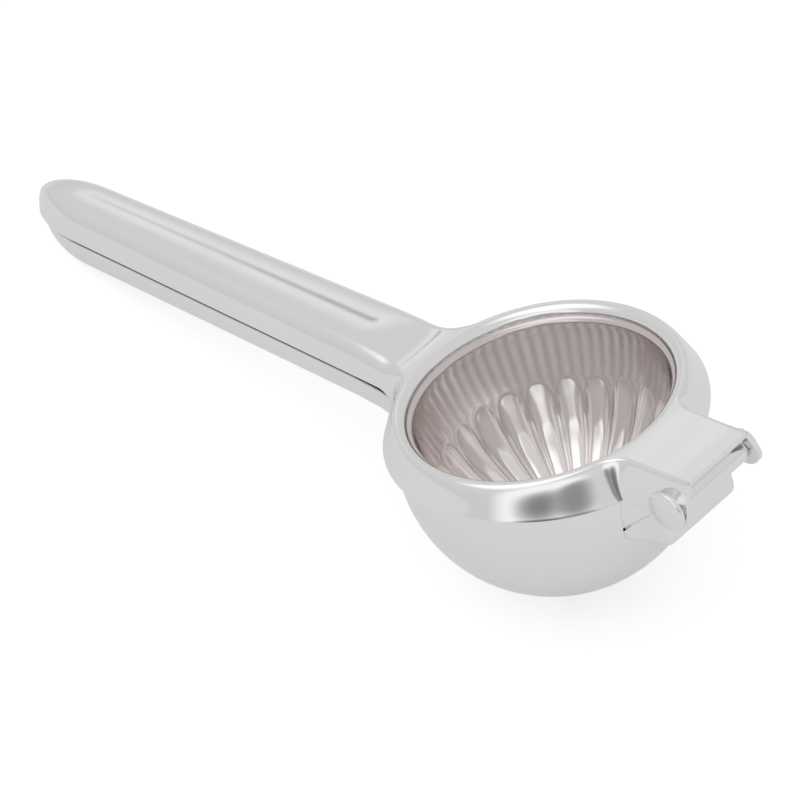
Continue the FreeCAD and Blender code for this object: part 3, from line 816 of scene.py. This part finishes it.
def addCamera():
    azimuth, elevation, roll = (math.radians(cameraView[k]) for k in ("azimuth", "elevation", "roll"))
    level = math.cos(elevation)
    back = Vector((math.sin(azimuth) * level, -math.cos(azimuth) * level, math.sin(elevation)))
    right = Vector((math.cos(azimuth), math.sin(azimuth), 0))
    up = back.cross(right)
    turnedRight = math.cos(roll) * right + math.sin(roll) * up
    turnedUp = -math.sin(roll) * right + math.cos(roll) * up
    axes = Matrix((toolTurn @ turnedRight, toolTurn @ turnedUp, toolTurn @ back)).transposed()
    place = toWorld(Vector(cameraView["target"]) + back * cameraView["distance"])
    data = bpy.data.cameras.new("photoCamera")
    data.sensor_width = cameraView["sensorWidth"]
    widthInView = cameraView["imageSize"] / cameraView["pixelsPerMm"]
    data.lens = cameraView["distance"] * data.sensor_width / widthInView
    data.clip_end = cameraView["clipEnd"]
    camera = bpy.data.objects.new("photoCamera", data)
    camera.matrix_world = Matrix.Translation(place) @ axes.to_4x4()
    bpy.context.scene.collection.objects.link(camera)
    bpy.context.scene.camera = camera


addCamera()
print("camera placed")

# light tent: an even pale surround with soft lamps and the darker opening that the camera looks through
studio = {"floorSize": 6.0, "horizon": 0.67, "overhead": 0.72, "overheadFrom": 0.4, "floorColour": 0.55,
          "floorRoughness": 0.9, "floorGlow": 0.64, "mirroredFloor": 0.3, "backdrop": 1.0}
# azimuth as for the camera, elevation, angular radius, softness, level; later ones lie over earlier ones
tentSpots = {"frontLamp": (32, 19, 30, 8, 1.06), "opening": (33, 6, 14, 10, 0.2),
             "openingSide": (55, 17, 9, 8, 0.3), "topLamp": (-35, 62, 24, 12, 1.25),
             "backLamp": (-127, 28, 5.5, 5, 0.88), "seam": (-127, 28, 1.2, 1, 0.3)}


def tentColour(tree):
    coords = tree.nodes.new("ShaderNodeTexCoord").outputs["Generated"]
    height = tree.nodes.new("ShaderNodeSeparateXYZ")
    tree.links.new(coords, height.inputs[0])
    level = addNode(tree, "ShaderNodeMapRange", Value=height.outputs["Z"], From_Max=studio["overheadFrom"],
                    To_Min=studio["horizon"], To_Max=studio["overhead"]).outputs[0]
    for azimuth, elevation, radius, softness, strength in tentSpots.values():
        around, above = math.radians(azimuth), math.radians(elevation)
        way = (math.sin(around) * math.cos(above), -math.cos(around) * math.cos(above), math.sin(above))
        facing = tree.nodes.new("ShaderNodeVectorMath")
        facing.operation = "DOT_PRODUCT"
        tree.links.new(coords, facing.inputs[0])
        facing.inputs[1].default_value = way
        spread = addNode(tree, "ShaderNodeMapRange", Value=facing.outputs["Value"],
                         From_Min=math.cos(math.radians(radius + softness)),
                         From_Max=math.cos(math.radians(max(radius - softness, 0))))
        spread.interpolation_type = "SMOOTHSTEP"
        level = mixLevels(tree, spread.outputs["Result"], level, strength)
    return level


# the camera sees a white backdrop and a glowing floor; reflections see the tent and a darker floor
def makeStudio():
    world = bpy.data.worlds.new("studio")
    bpy.context.scene.world = world
    world.use_nodes = True
    tree = world.node_tree
    seen = tree.nodes.new("ShaderNodeLightPath").outputs["Is Camera Ray"]
    colour = mixLevels(tree, seen, tentColour(tree), studio["backdrop"])
    tree.links.new(colour, tree.nodes["Background"].inputs["Color"])
    bpy.ops.mesh.primitive_plane_add(size=studio["floorSize"], location=(0, 0, 0))
    floor = bpy.context.object
    floor.name = "floor"
    paint = bpy.data.materials.new("paleFloor")
    paint.use_nodes = True
    tree = paint.node_tree
    shader = tree.nodes["Principled BSDF"]
    shader.inputs["Base Color"].default_value = (studio["floorColour"],) * 3 + (1,)
    shader.inputs["Roughness"].default_value = studio["floorRoughness"]
    shader.inputs["Specular IOR Level"].default_value = 0.0
    shader.inputs["Emission Color"].default_value = (1, 1, 1, 1)
    seen = tree.nodes.new("ShaderNodeLightPath").outputs["Is Camera Ray"]
    glow = mixLevels(tree, seen, studio["mirroredFloor"], studio["floorGlow"])
    tree.links.new(glow, shader.inputs["Emission Strength"])
    floor.data.materials.append(paint)


makeStudio()
print("light tent made")
bpy.context.scene.view_settings.view_transform = "Standard"
